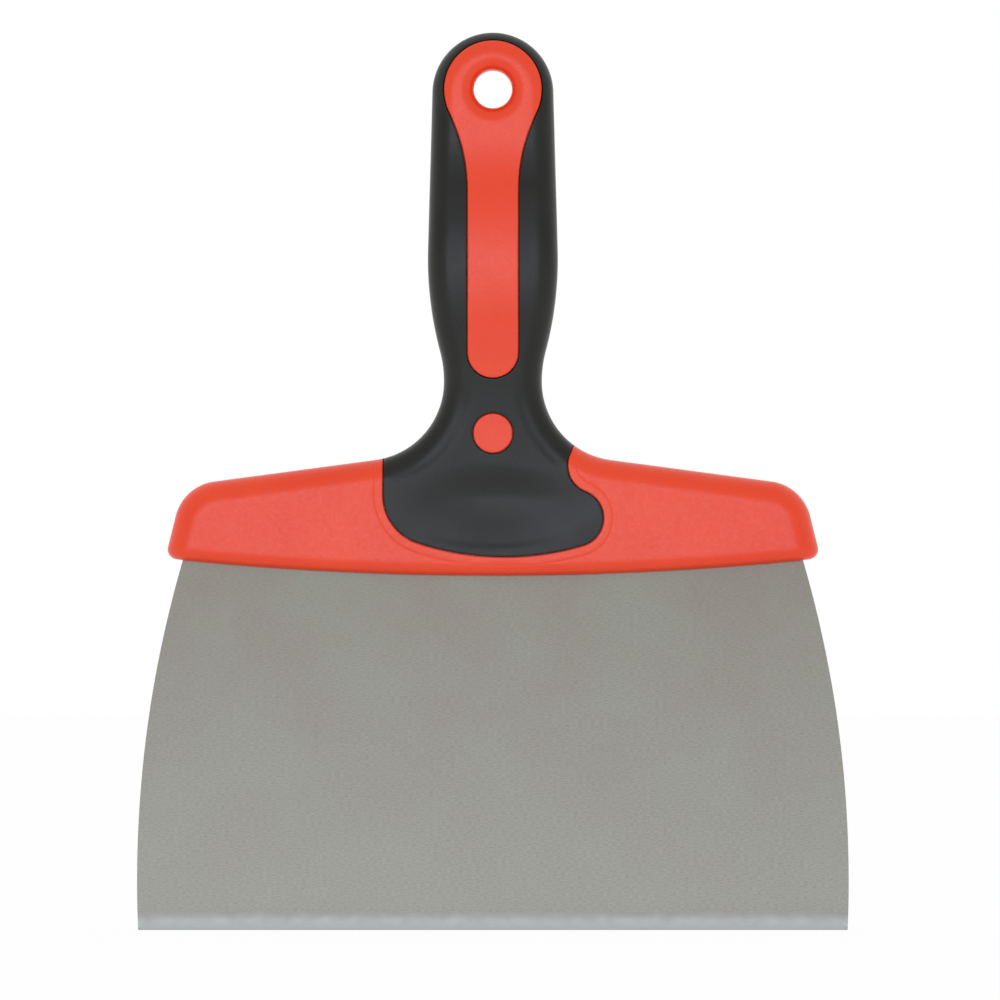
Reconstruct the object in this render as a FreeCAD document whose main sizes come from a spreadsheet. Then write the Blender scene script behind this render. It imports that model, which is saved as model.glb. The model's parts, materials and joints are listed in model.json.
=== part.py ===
import FreeCAD, Part
import os
from math import acos, asin, atan2, cos, hypot, pi, radians, sin, sqrt

import Sketcher

# A flexible putty knife with an overmoulded two-material handle.
# Frame: the origin is the middle of the cutting edge, +Z runs up the handle, the blade lies in
# the XZ plane and the front of the handle faces -Y. All sizes are in millimetres.

doc = FreeCAD.newDocument("PuttyKnife")
sheet = doc.addObject("Spreadsheet::Sheet", "Sizes")

drivingSizes = (
    ("BladeWidth", 200, "length of the cutting edge"),
    ("BladeThickness", 0.5, "spring steel sheet"),
    ("SideRadius", 322, "radius of the blade's bowed sides"),
    ("WidestHeight", 14, "height of the blade's widest place above the edge"),
    ("HoneHeight", 5, "height of the honed band above the edge"),
    ("HoneDepth", 0.08, "steel honed off each face at the edge"),
    ("FreeLength", 99.9, "height of the guard's lip above the edge, at its middle"),
    ("LipBow", 880, "radius of the lip, which rises towards its ends"),
    ("LipRound", 3.5, "rounding of the lip's edges and lower corners"),
    ("TangDepth", 15, "how far the blade goes up inside the guard"),
    ("KeyRise", 8, "height of the key holes above the lip"),
    ("KeyRadius", 2.5, "radius of the holes in the tang"),
    ("KeyInset", 16, "distance of the outermost holes from the blade's sides"),
    ("KeyCount", 5, "number of holes"),
    ("FitGap", 0.05, "clearance of the blade in its slot and on its keys"),
    ("WingReach", 5, "reach of each wing past the blade's side at the lip"),
    ("GuardDepth", 13, "front to back thickness of the guard"),
    ("FaceRise", 18.2, "height of the guard's flat face above the lip"),
    ("EndLean", 14, "inward lean of the wings' ends in degrees"),
    ("ShoulderRadius", 13, "upper corner of each wing"),
    ("TopSlope", 7.6, "fall of the wings' top edge in degrees"),
    ("EdgeRound", 6.3, "rounding of the wings' and the handle's edges"),
    ("NeckWidth", 27.6, "narrowest width, where the handle meets the guard"),
    ("NeckRise", 54.7, "height of the narrowest place above the lip"),
    ("NeckRadius", 22.3, "hollow between the neck and the wing"),
    ("WaistRadius", 33, "hollow between the neck and the palm swell"),
    ("PalmWidth", 36.6, "widest place of the handle"),
    ("PalmDepth", 25, "front to back thickness of the palm swell"),
    ("PalmRise", 89.1, "height of the palm swell above the lip"),
    ("SwellRadius", 100, "front to back curve of the palm swell"),
    ("EndWidth", 34.1, "width of the handle's round end"),
    ("EndDepth", 18, "front to back thickness of the round end"),
    ("EndRise", 135.9, "height of the round end's centre above the lip"),
    ("HoleRise", 137, "height of the hang hole above the lip"),
    ("HoleRadius", 5.4, "radius of the hang hole"),
    ("MouthRound", 3.8, "rounding of the hang hole's mouths"),
    ("EyeletRadius", 13.6, "radius of the red eyelet round the hang hole"),
    ("StripWidth", 14.2, "width of the red strip along the handle"),
    ("StripRise", 62.8, "height of the strip's lower centre above the lip"),
    ("FlareRadius", 48, "hollow flare between strip and eyelet"),
    ("MarkRadius", 5.5, "radius of the plain round mark on the neck"),
    ("MarkRise", 40.1, "height of the mark above the lip"),
    ("GripWall", 2, "thickness of the soft grip over the core"),
    ("SpineRound", 3.8, "rounding of the core's edges under the grip"),
    ("PadLeft", 31.1, "reach of the thumb rest to the left of the middle"),
    ("PadRise", 5.1, "height of the thumb rest's lowest place above the lip"),
    ("PadCorner", 14.4, "left lower corner of the thumb rest"),
    ("PadBelly", 78, "bottom curve of the thumb rest"),
    ("LobeRadius", 8.2, "right lobe of the thumb rest"),
    ("LobeReach", 31.3, "reach of the lobe to the right of the middle"),
    ("NotchRadius", 7.7, "hollow above the lobe"),
    ("NotchReach", 21.2, "reach of the thumb rest to the right at the hollow"),
    ("NotchLean", 21.6, "lean of the thumb rest's edge above the hollow in degrees"),
)
for row, (alias, number, note) in enumerate(drivingSizes, 1):
    sheet.set(f"A{row}", note)
    sheet.set(f"B{row}", str(number))
    sheet.setAlias(f"B{row}", alias)
doc.recompute()

skirt = "3"  # extra length below the lip that the lip's own cut takes away
past = "5"  # how far cutting shapes reach past what they cut

# Places that several pieces share, as expressions on the sheet.
lipUp = "Sizes.FreeLength"
faceUp = "Sizes.FreeLength + Sizes.FaceRise"
neckUp = "Sizes.FreeLength + Sizes.NeckRise"
palmUp = "Sizes.FreeLength + Sizes.PalmRise"
endUp = "Sizes.FreeLength + Sizes.EndRise"
holeUp = "Sizes.FreeLength + Sizes.HoleRise"
stripUp = "Sizes.FreeLength + Sizes.StripRise"
markUp = "Sizes.FreeLength + Sizes.MarkRise"
sideCentre = "Sizes.BladeWidth / 2 - sqrt(Sizes.SideRadius ^ 2 - Sizes.WidestHeight ^ 2)"
bladeAtLip = (
    f"{sideCentre} + sqrt(Sizes.SideRadius ^ 2 - ({lipUp} - Sizes.WidestHeight) ^ 2)"
)
wingHalf = f"({bladeAtLip} + Sizes.WingReach)"
edgeRound = "min(Sizes.EdgeRound; Sizes.GuardDepth / 2 - 0.2)"
spineRound = "min(Sizes.SpineRound; Sizes.GuardDepth / 2 - Sizes.GripWall - 0.5)"


def value(expression):
    found = sheet.evalExpression(str(expression))
    return float(getattr(found, "Value", found))


def size(alias):
    return value("Sizes." + alias)


def polar(centre, radius, angle):
    return (centre[0] + radius * cos(angle), centre[1] + radius * sin(angle))


class Outline:
    """A closed outline on one of a body's origin planes, drawn piece by piece anticlockwise."""

    def __init__(self, body, name, role):
        planes = (f for f in body.Origin.OriginFeatures if f.Role == role)
        self.sketch = body.newObject("Sketcher::SketchObject", name)
        self.sketch.AttachmentSupport = [(next(planes), "")]
        self.sketch.MapMode = "FlatFace"
        self.pieces = {}
        self.last = None

    def join(self, piece, tangent):
        """Ties a piece's first end to the last end of the piece before it."""
        if self.last:
            kind = "Tangent" if tangent else "Coincident"
            self.sketch.addConstraint(
                Sketcher.Constraint(kind, self.last[0], self.last[2], piece[0], piece[1])
            )
        self.last = piece

    def line(self, name, start, end, tangent=False):
        segment = Part.LineSegment(FreeCAD.Vector(*start, 0), FreeCAD.Vector(*end, 0))
        piece = (self.sketch.addGeometry(segment), 1, 2)
        self.pieces[name] = piece
        self.join(piece, tangent)

    def arc(self, name, centre, radius, start, end, tangent=True):
        """An arc from one angle to another, in radians; it may turn either way."""
        circle = Part.Circle(FreeCAD.Vector(*centre, 0), FreeCAD.Vector(0, 0, 1), radius)
        turn = Part.ArcOfCircle(circle, min(start, end), max(start, end))
        ends = (1, 2) if end > start else (2, 1)
        piece = (self.sketch.addGeometry(turn), *ends)
        self.pieces[name] = piece
        self.join(piece, tangent)

    def close(self, tangent=False):
        self.join(next(iter(self.pieces.values())), tangent)

    def fix(self, kind, *places):
        """A constraint with no size, such as Vertical or a point on an axis."""
        self.sketch.addConstraint(Sketcher.Constraint(kind, *places))

    def measure(self, name, kind, places, expression):
        """A dimension bound to the sheet."""
        number = value(expression)
        if kind == "Angle":
            expression = f"({expression}) * 1 deg"
            number = radians(number)
        self.sketch.addConstraint(Sketcher.Constraint(kind, *places, number))
        self.sketch.renameConstraint(self.sketch.ConstraintCount - 1, name)
        self.sketch.setExpression("Constraints." + name, expression)

    def place(self, name, piece, end, across=None, up=None):
        """Sets how far a piece's first end, last end or centre lies across and up."""
        number, first, last = self.pieces[piece]
        point = {"first": first, "last": last, "centre": 3}[end]
        if across is not None:
            self.measure(name + "Across", "DistanceX", (-1, 1, number, point), across)
        if up is not None:
            self.measure(name + "Up", "DistanceY", (-1, 1, number, point), up)

    def onAxis(self, piece, end):
        number, first, last = self.pieces[piece]
        point = {"first": first, "last": last, "centre": 3}[end]
        self.fix("PointOnObject", number, point, -2)

    def radius(self, piece, expression):
        self.measure(piece + "Radius", "Radius", (self.pieces[piece][0],), expression)

    def angle(self, piece, expression):
        self.measure(piece + "Angle", "Angle", (self.pieces[piece][0],), expression)


def newBody(name):
    return doc.addObject("PartDesign::Body", name)


def pad(body, name, outline, length):
    """A solid of the given full thickness, half of it on each side of the sketch."""
    feature = body.newObject("PartDesign::Pad", name)
    feature.Profile = outline.sketch
    feature.SideType = "Symmetric"
    feature.setExpression("Length", length)
    body.Tip = feature
    return feature


def cutThrough(body, name, outline):
    feature = body.newObject("PartDesign::Pocket", name)
    feature.Profile = outline.sketch
    feature.SideType = "Symmetric"
    feature.Type = "ThroughAll"
    body.Tip = feature
    return feature


def mirror(body, name, feature, outline):
    """Adds the other half across the outline's upright axis."""
    other = body.newObject("PartDesign::Mirrored", name)
    other.Originals = [feature]
    other.MirrorPlane = (outline.sketch, ["V_Axis"])
    body.Tip = other
    return other


def roundEdges(body, name, test, radius):
    """Rounds every edge of the body so far that passes the test."""
    doc.recompute()
    base = body.Tip
    chosen = [f"Edge{n}" for n, edge in enumerate(base.Shape.Edges, 1) if test(edge)]
    feature = body.newObject("PartDesign::Fillet", name)
    feature.Base = (base, chosen)
    feature.setExpression("Radius", radius)
    body.Tip = feature
    return feature


def boolean(kind, name, base, tool):
    result = doc.addObject("Part::" + kind, name)
    result.Base = base
    result.Tool = tool
    return result


def tangentSplit(rise, reach):
    """Two tangent arcs of opposite bend that carry an upright line sideways by rise over
    the given reach: the sum of their radii, and the angle at which they meet."""
    total = (rise**2 + reach**2) / (2 * rise)
    return total, asin(reach / total)


# Blade: the sheet and the room it needs in the guard share one outline.


def sheetOutline(body, name, gap):
    """The right half of the blade, each edge moved out by the gap."""
    centre = (value(sideCentre), size("WidestHeight"))
    bend = size("SideRadius") + value(gap)
    low = -value(gap)
    topUp = f"{lipUp} + Sizes.TangDepth + {gap}"
    top = value(topUp)
    start = asin((low - centre[1]) / bend)
    end = asin((top - centre[1]) / bend)
    edgeEnd = polar(centre, bend, start)
    tangEnd = polar(centre, bend, end)

    outline = Outline(body, name, "XZ_Plane")
    outline.line("edge", (0, low), edgeEnd)
    outline.arc("side", centre, bend, start, end, tangent=False)
    outline.line("tang", tangEnd, (0, top))
    outline.line("middle", (0, top), (0, low))
    outline.close()
    outline.fix("Horizontal", outline.pieces["edge"][0])
    outline.fix("Horizontal", outline.pieces["tang"][0])
    outline.onAxis("middle", "first")
    outline.onAxis("middle", "last")
    outline.place("low", "edge", "first", up=f"0 - {gap}")
    outline.place("top", "tang", "last", up=topUp)
    outline.place("bow", "side", "centre", across=sideCentre, up="Sizes.WidestHeight")
    outline.radius("side", f"Sizes.SideRadius + {gap}")
    return outline


def keyHoles(body, name, gap):
    """A row of round holes along the tang, each smaller by the gap."""
    outline = Outline(body, name, "XZ_Plane")
    radius = f"Sizes.KeyRadius - {gap}"
    height = f"{lipUp} + Sizes.KeyRise"
    for number in range(int(size("KeyCount"))):
        share = f"({number} * 2 / (Sizes.KeyCount - 1) - 1)"
        across = f"{share} * ({bladeAtLip} - Sizes.KeyInset)"
        centre = FreeCAD.Vector(value(across), value(height), 0)
        circle = Part.Circle(centre, FreeCAD.Vector(0, 0, 1), value(radius))
        name = f"hole{number}"
        outline.pieces[name] = (outline.sketch.addGeometry(circle), 1, 2)
        outline.place(name, name, "centre", across=across, up=height)
        outline.radius(name, radius)
    return outline


def sheetBody(name, gap):
    body = newBody(name)
    outline = sheetOutline(body, name + "Outline", gap)
    half = pad(body, name + "Half", outline, f"Sizes.BladeThickness + 2 * {gap}")
    mirror(body, name + "Whole", half, outline)
    holes = keyHoles(body, name + "Holes", gap)
    cutThrough(body, name + "Keyed", holes)
    return body


def isCuttingEdge(edge):
    """The two long edges at the bottom of the blade."""
    box = edge.BoundBox
    return box.ZMax < 0.001 and box.XLength > size("BladeThickness") * 2


blade = sheetBody("blade", "0")
doc.recompute()
keyed = blade.Tip
hone = blade.newObject("PartDesign::Chamfer", "bladeHone")
hone.Base = (
    keyed,
    [f"Edge{n}" for n, edge in enumerate(keyed.Shape.Edges, 1) if isCuttingEdge(edge)],
)
hone.ChamferType = "Two distances"
hone.setExpression("Size", "Sizes.HoneDepth")
hone.setExpression("Size2", "Sizes.HoneHeight")
blade.Tip = hone

slot = sheetBody("slot", "Sizes.FitGap")


# Handle: a front outline and a side outline, both moved in by the grip's wall for the core.


def frontOutline(body, name, inset):
    """The right half of the guard, neck and handle as seen from the front."""
    wall = value(inset)
    base = size("FreeLength") - float(skirt)
    lean, slope = radians(size("EndLean")), radians(size("TopSlope"))
    neck = (size("NeckWidth") / 2 + size("NeckRadius"), value(neckUp))
    neckBend = size("NeckRadius") + wall
    shoulderBend = size("ShoulderRadius") - wall
    footAcross = f"{wingHalf} + {skirt} * tan(Sizes.EndLean * 1 deg) - {inset}"
    foot = (value(footAcross), base)

    # The shoulder's centre lies its own radius inside the leaning end and the sloping top.
    endFar = foot[0] * cos(lean) + foot[1] * sin(lean) - shoulderBend
    topFar = neck[0] * sin(slope) + neck[1] * cos(slope) - neckBend - shoulderBend
    turn = cos(lean) * cos(slope) - sin(lean) * sin(slope)
    shoulder = (
        (endFar * cos(slope) - sin(lean) * topFar) / turn,
        (cos(lean) * topFar - sin(slope) * endFar) / turn,
    )
    topNormal = pi / 2 - slope

    waist = (size("NeckWidth") / 2 + size("WaistRadius"), value(neckUp))
    waistBend = size("WaistRadius") + wall
    rise = (size("PalmWidth") - size("NeckWidth")) / 2
    total, meet = tangentSplit(rise, value(palmUp) - value(neckUp))
    palmBend = total - size("WaistRadius") - wall
    palm = (size("PalmWidth") / 2 - wall - palmBend, value(palmUp))
    end = (0, value(endUp))
    endBend = size("EndWidth") / 2 - wall
    toEnd = (end[0] - palm[0], end[1] - palm[1])
    taper = atan2(toEnd[1], toEnd[0]) - acos((palmBend - endBend) / hypot(*toEnd))

    outline = Outline(body, name, "XZ_Plane")
    outline.line("base", (0, base), foot)
    outline.line("end", foot, polar(shoulder, shoulderBend, lean))
    outline.arc("shoulder", shoulder, shoulderBend, lean, topNormal)
    outline.line(
        "top",
        polar(shoulder, shoulderBend, topNormal),
        polar(neck, neckBend, topNormal + pi),
        tangent=True,
    )
    outline.arc("neck", neck, neckBend, topNormal + pi, pi)
    outline.arc("waist", waist, waistBend, pi, pi - meet)
    outline.arc("palmLow", palm, palmBend, -meet, 0)
    outline.arc("palmHigh", palm, palmBend, 0, taper)
    outline.line(
        "taper", polar(palm, palmBend, taper), polar(end, endBend, taper), tangent=True
    )
    outline.arc("round", end, endBend, taper, pi / 2)
    outline.line("middle", polar(end, endBend, pi / 2), (0, base))
    outline.close()

    outline.fix("Horizontal", outline.pieces["base"][0])
    outline.onAxis("base", "first")
    outline.onAxis("round", "centre")
    outline.onAxis("middle", "first")
    outline.place("foot", "base", "last", footAcross, f"{lipUp} - {skirt}")
    outline.angle("end", "90 + Sizes.EndLean")
    outline.radius("shoulder", f"Sizes.ShoulderRadius - {inset}")
    outline.angle("top", "180 - Sizes.TopSlope")
    outline.radius("neck", f"Sizes.NeckRadius + {inset}")
    outline.place("neck", "neck", "last", f"Sizes.NeckWidth / 2 - {inset}", neckUp)
    outline.place("hollow", "neck", "centre", up=neckUp)
    outline.radius("waist", f"Sizes.WaistRadius + {inset}")
    outline.place("palm", "palmLow", "last", f"Sizes.PalmWidth / 2 - {inset}", palmUp)
    outline.place("swell", "palmLow", "centre", up=palmUp)
    outline.fix("Equal", outline.pieces["palmLow"][0], outline.pieces["palmHigh"][0])
    outline.place("round", "round", "centre", up=endUp)
    outline.radius("round", f"Sizes.EndWidth / 2 - {inset}")
    return outline


def sideOutline(body, name, inset):
    """The half of the handle behind its middle plane, as seen from the side."""
    wall = value(inset)
    base = size("FreeLength") - float(skirt)
    ceilingUp = f"{endUp} + Sizes.EndWidth / 2 + {past}"
    flatUp = f"{holeUp} - Sizes.EyeletRadius"
    guard = size("GuardDepth") / 2 - wall
    end = size("EndDepth") / 2 - wall
    palm = size("PalmDepth") / 2 - wall
    swell = size("SwellRadius") - wall
    middle = (palm - swell, value(palmUp))
    lowTotal, lowMeet = tangentSplit(palm - guard, value(palmUp) - value(faceUp))
    highTotal, highMeet = tangentSplit(palm - end, value(flatUp) - value(palmUp))
    lowBend, highBend = lowTotal - swell, highTotal - swell

    outline = Outline(body, name, "YZ_Plane")
    outline.line("base", (0, base), (guard, base))
    outline.line("face", (guard, base), (guard, value(faceUp)))
    outline.arc("rise", (guard + lowBend, value(faceUp)), lowBend, pi, pi - lowMeet)
    outline.arc("palmLow", middle, swell, -lowMeet, 0)
    outline.arc("palmHigh", middle, swell, 0, highMeet)
    outline.arc("fall", (end + highBend, value(flatUp)), highBend, pi + highMeet, pi)
    outline.line("flat", (end, value(flatUp)), (end, value(ceilingUp)), tangent=True)
    outline.line("ceiling", (end, value(ceilingUp)), (0, value(ceilingUp)))
    outline.line("middle", (0, value(ceilingUp)), (0, base))
    outline.close()

    outline.fix("Horizontal", outline.pieces["base"][0])
    outline.fix("Vertical", outline.pieces["face"][0])
    outline.fix("Vertical", outline.pieces["flat"][0])
    outline.fix("Horizontal", outline.pieces["ceiling"][0])
    outline.onAxis("middle", "first")
    outline.onAxis("middle", "last")
    outline.place(
        "base", "base", "last", f"Sizes.GuardDepth / 2 - {inset}", f"{lipUp} - {skirt}"
    )
    outline.place("face", "face", "last", up=faceUp)
    outline.place("palm", "palmLow", "last", f"Sizes.PalmDepth / 2 - {inset}", palmUp)
    outline.place("swell", "palmLow", "centre", up=palmUp)
    outline.radius("palmLow", f"Sizes.SwellRadius - {inset}")
    outline.fix("Equal", outline.pieces["palmLow"][0], outline.pieces["palmHigh"][0])
    outline.place("flat", "flat", "first", f"Sizes.EndDepth / 2 - {inset}", flatUp)
    outline.place("ceiling", "ceiling", "first", up=ceilingUp)
    return outline


def isLongEdge(edge):
    """An edge between the front or back face and the outline's wall: it lies away from the
    middle planes and runs neither along X nor along Y."""
    box = edge.BoundBox
    flat = 0.001
    alongX = box.YLength < flat and box.ZLength < flat
    alongY = box.XLength < flat and box.ZLength < flat
    inMiddle = box.XLength < flat and abs(box.Center.x) < flat
    return not (alongX or alongY or inMiddle)


def handleBody(name, inset, rounding):
    """The handle's solid: front outline and side outline in common, with rounded edges."""
    front = newBody(name + "Front")
    outline = frontOutline(front, name + "FrontOutline", inset)
    half = pad(front, name + "FrontHalf", outline, "Sizes.PalmDepth * 2")
    mirror(front, name + "FrontWhole", half, outline)
    side = newBody(name + "Side")
    outline = sideOutline(side, name + "SideOutline", inset)
    half = pad(side, name + "SideHalf", outline, f"2 * ({wingHalf} + {past})")
    mirror(side, name + "SideWhole", half, outline)
    blank = boolean("Common", name + "Blank", front, side)
    doc.recompute()
    body = newBody(name)
    body.BaseFeature = blank
    doc.recompute()
    roundEdges(body, name + "Rounded", isLongEdge, rounding)
    return body


def lipOutline(body, name):
    """Everything below the lip, a wide arc that is lowest at its middle."""
    reachAcross = f"{wingHalf} + {past}"
    lowUp = f"{lipUp} - {skirt} - {past}"
    reach, low = value(reachAcross), value(lowUp)
    bow = size("LipBow")
    centre = (0, value(lipUp) + bow)
    swing = asin(reach / bow)
    left, right = polar(centre, bow, -pi / 2 - swing), polar(centre, bow, -pi / 2 + swing)
    outline = Outline(body, name, "XZ_Plane")
    outline.line("floor", (-reach, low), (reach, low))
    outline.line("right", (reach, low), right)
    outline.arc("lip", centre, bow, -pi / 2 + swing, -pi / 2 - swing, tangent=False)
    outline.line("left", left, (-reach, low))
    outline.close()
    outline.fix("Horizontal", outline.pieces["floor"][0])
    outline.fix("Vertical", outline.pieces["left"][0])
    outline.fix("Vertical", outline.pieces["right"][0])
    outline.onAxis("lip", "centre")
    outline.place("floor", "floor", "last", reachAcross, lowUp)
    outline.place("floorLeft", "floor", "first", f"0 - ({reachAcross})")
    outline.place("lip", "lip", "centre", up=f"{lipUp} + Sizes.LipBow")
    outline.radius("lip", "Sizes.LipBow")
    return outline


def isLipEdge(edge):
    """The loop round the guard's bottom face."""
    box = edge.BoundBox
    highest = size("LipBow") - sqrt(size("LipBow") ** 2 - value(wingHalf) ** 2)
    return box.ZMax < value(lipUp) + highest + 0.5 and box.ZLength < highest + 0.5


def isHoleEdge(edge):
    """The two rims of the hang hole."""
    curve = edge.Curve
    return (
        isinstance(curve, Part.Circle)
        and abs(curve.Radius - size("HoleRadius")) < 0.001
        and abs(curve.Center.z - value(holeUp)) < 0.001
    )


def circleOutline(body, name, height, radius):
    outline = Outline(body, name, "XZ_Plane")
    centre = FreeCAD.Vector(0, value(height), 0)
    circle = Part.Circle(centre, FreeCAD.Vector(0, 0, 1), value(radius))
    outline.pieces["ring"] = (outline.sketch.addGeometry(circle), 1, 2)
    outline.onAxis("ring", "centre")
    outline.place("ring", "ring", "centre", up=height)
    outline.radius("ring", radius)
    return outline


outer = handleBody("handle", "0", edgeRound)
cutThrough(outer, "handleLip", lipOutline(outer, "handleLipOutline"))
roundEdges(outer, "handleLipRounded", isLipEdge, "Sizes.LipRound")
ring = circleOutline(outer, "handleHoleOutline", holeUp, "Sizes.HoleRadius")
cutThrough(outer, "handleHole", ring)
mouthRoom = (
    "Sizes.EndWidth / 2 - (Sizes.HoleRise - Sizes.EndRise)"
    f" - {edgeRound} - Sizes.HoleRadius - 0.1"
)
roundEdges(outer, "handleMouths", isHoleEdge, f"min(Sizes.MouthRound; {mouthRoom})")

spine = handleBody("spine", "Sizes.GripWall", spineRound)


# Windows: where the core shows through the grip, cut straight through front to back.


def stripOutline(body, name):
    """The right half of the long strip and the eyelet it flares into."""
    strip, eyelet, flare = size("StripWidth") / 2, size("EyeletRadius"), size("FlareRadius")
    low, high = (0, value(stripUp)), (0, value(holeUp))
    across = strip + flare
    drop = sqrt((flare + eyelet) ** 2 - across**2)
    centre = (across, high[1] - drop)
    meet = asin(drop / (flare + eyelet))
    outline = Outline(body, name, "XZ_Plane")
    outline.arc("foot", low, strip, -pi / 2, 0, tangent=False)
    outline.line("edge", (strip, low[1]), (strip, centre[1]), tangent=True)
    outline.arc("flare", centre, flare, pi, pi - meet)
    outline.arc("eyelet", high, eyelet, -meet, pi / 2)
    outline.line("middle", (0, high[1] + eyelet), (0, low[1] - strip))
    outline.close()
    outline.fix("Vertical", outline.pieces["edge"][0])
    outline.onAxis("foot", "centre")
    outline.onAxis("foot", "first")
    outline.onAxis("eyelet", "centre")
    outline.onAxis("middle", "first")
    outline.place("foot", "foot", "centre", up=stripUp)
    outline.radius("foot", "Sizes.StripWidth / 2")
    outline.radius("flare", "Sizes.FlareRadius")
    outline.place("eyelet", "eyelet", "centre", up=holeUp)
    outline.radius("eyelet", "Sizes.EyeletRadius")
    return outline


strip = newBody("strip")
outline = stripOutline(strip, "stripOutline")
half = pad(strip, "stripHalf", outline, "Sizes.PalmDepth * 2")
mirror(strip, "stripWhole", half, outline)

mark = newBody("mark")
ring = circleOutline(mark, "markOutline", markUp, "Sizes.MarkRadius")
pad(mark, "markDisc", ring, "Sizes.PalmDepth * 2")


# Grip: everything above the thumb rest's edge, less the core inside it.


def gripOutline(body, name):
    """The thumb rest's lower edge, closed well outside the handle."""
    farAcross = f"{wingHalf} + {past}"
    topUp = f"{endUp} + Sizes.EndWidth / 2 + {past}"
    far, top, neckHeight = value(farAcross), value(topUp), value(neckUp)
    corner, belly, lobe = size("PadCorner"), size("PadBelly"), size("LobeRadius")
    notch, lean = size("NotchRadius"), radians(size("NotchLean"))
    left, low = -size("PadLeft"), size("FreeLength") + size("PadRise")

    # The corner and the lobe both lie inside the belly's wide arc and touch it.
    cornerAcross = left + corner
    lobeAcross = size("LobeReach") - lobe
    bellyCentre = ((cornerAcross + lobeAcross) / 2, low + belly)
    cornerDrop = sqrt((belly - corner) ** 2 - (cornerAcross - bellyCentre[0]) ** 2)
    cornerCentre = (cornerAcross, bellyCentre[1] - cornerDrop)
    lobeDrop = sqrt((belly - lobe) ** 2 - (lobeAcross - bellyCentre[0]) ** 2)
    lobeCentre = (lobeAcross, bellyCentre[1] - lobeDrop)
    notchAcross = size("NotchReach") + notch
    notchRise = sqrt((lobe + notch) ** 2 - (notchAcross - lobeAcross) ** 2)
    notchCentre = (notchAcross, lobeCentre[1] + notchRise)
    toCorner = atan2(cornerCentre[1] - bellyCentre[1], cornerCentre[0] - bellyCentre[0])
    toLobe = atan2(lobeCentre[1] - bellyCentre[1], lobeCentre[0] - bellyCentre[0])
    toNotch = atan2(notchCentre[1] - lobeCentre[1], notchCentre[0] - lobeCentre[0])
    notchEnd = polar(notchCentre, notch, pi - lean)
    exit = (notchEnd[0] + (neckHeight - notchEnd[1]) * sin(lean) / cos(lean), neckHeight)

    outline = Outline(body, name, "XZ_Plane")
    outline.line("left", (left, neckHeight), (left, cornerCentre[1]))
    outline.arc("corner", cornerCentre, corner, -pi, toCorner)
    outline.arc("belly", bellyCentre, belly, toCorner, toLobe)
    outline.arc("lobe", lobeCentre, lobe, toLobe, toNotch)
    outline.arc("notch", notchCentre, notch, toNotch + pi, pi - lean)
    outline.line("exit", notchEnd, exit, tangent=True)
    outline.line("shelfRight", exit, (far, neckHeight))
    outline.line("right", (far, neckHeight), (far, top))
    outline.line("roof", (far, top), (-far, top))
    outline.line("farLeft", (-far, top), (-far, neckHeight))
    outline.line("shelfLeft", (-far, neckHeight), (left, neckHeight))
    outline.close()
    for upright in ("left", "right", "farLeft"):
        outline.fix("Vertical", outline.pieces[upright][0])
    for level in ("shelfRight", "roof", "shelfLeft"):
        outline.fix("Horizontal", outline.pieces[level][0])
    outline.place("left", "left", "first", "0 - Sizes.PadLeft", neckUp)
    outline.radius("corner", "Sizes.PadCorner")
    outline.radius("belly", "Sizes.PadBelly")
    bellyUp = f"{lipUp} + Sizes.PadRise + Sizes.PadBelly"
    outline.place("belly", "belly", "centre", up=bellyUp)
    lobeReach = "Sizes.LobeReach - Sizes.LobeRadius"
    middle = f"(Sizes.PadCorner - Sizes.PadLeft + {lobeReach}) / 2"
    outline.place("bellyMiddle", "belly", "centre", middle)
    outline.radius("lobe", "Sizes.LobeRadius")
    outline.place("lobe", "lobe", "centre", lobeReach)
    outline.radius("notch", "Sizes.NotchRadius")
    outline.place("notch", "notch", "centre", "Sizes.NotchReach + Sizes.NotchRadius")
    outline.angle("exit", "90 - Sizes.NotchLean")
    outline.place("exit", "exit", "last", up=neckUp)
    outline.place("right", "right", "first", farAcross)
    outline.place("roof", "roof", "last", f"0 - ({farAcross})", topUp)
    return outline


region = newBody("gripRegion")
pad(region, "gripRegionBlock", gripOutline(region, "gripRegionOutline"), "Sizes.PalmDepth * 2")
aroundSpine = boolean("Cut", "aroundSpine", region, spine)
aroundStrip = boolean("Cut", "aroundStrip", aroundSpine, strip)
skin = boolean("Cut", "skin", aroundStrip, mark)
grip = boolean("Common", "grip", outer, skin)

# Core: the rest of the handle, with the blade's slot cut and the keys left standing in it.
unslotted = boolean("Cut", "unslotted", outer, skin)
core = boolean("Cut", "core", unslotted, slot)

doc.recompute()

subParts = {"blade": blade, "core": core, "grip": grip}
for label, feature in subParts.items():
    feature.Label = label

faults = []
for item in doc.Objects:
    if "Invalid" in item.State or "Error" in item.State:
        faults.append(f"{item.Name} is {item.State}")
for label, feature in subParts.items():
    shape = feature.Shape
    if shape.isNull() or not shape.isValid():
        faults.append(f"{label} has no valid shape")
    elif len(shape.Solids) != 1:
        faults.append(f"{label} has {len(shape.Solids)} solids")
if faults:
    raise RuntimeError("; ".join(faults))

os.makedirs("parts", exist_ok=True)
for label, feature in subParts.items():
    feature.Shape.exportStep(f"parts/{label}.step")
    print(f"{label}: {feature.Shape.Volume:.1f} mm3, {len(feature.Shape.Faces)} faces")
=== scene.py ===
import json
import math

import bpy
import numpy as np
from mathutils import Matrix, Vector
from mathutils.geometry import delaunay_2d_cdt
from mathutils.kdtree import KDTree


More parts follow.
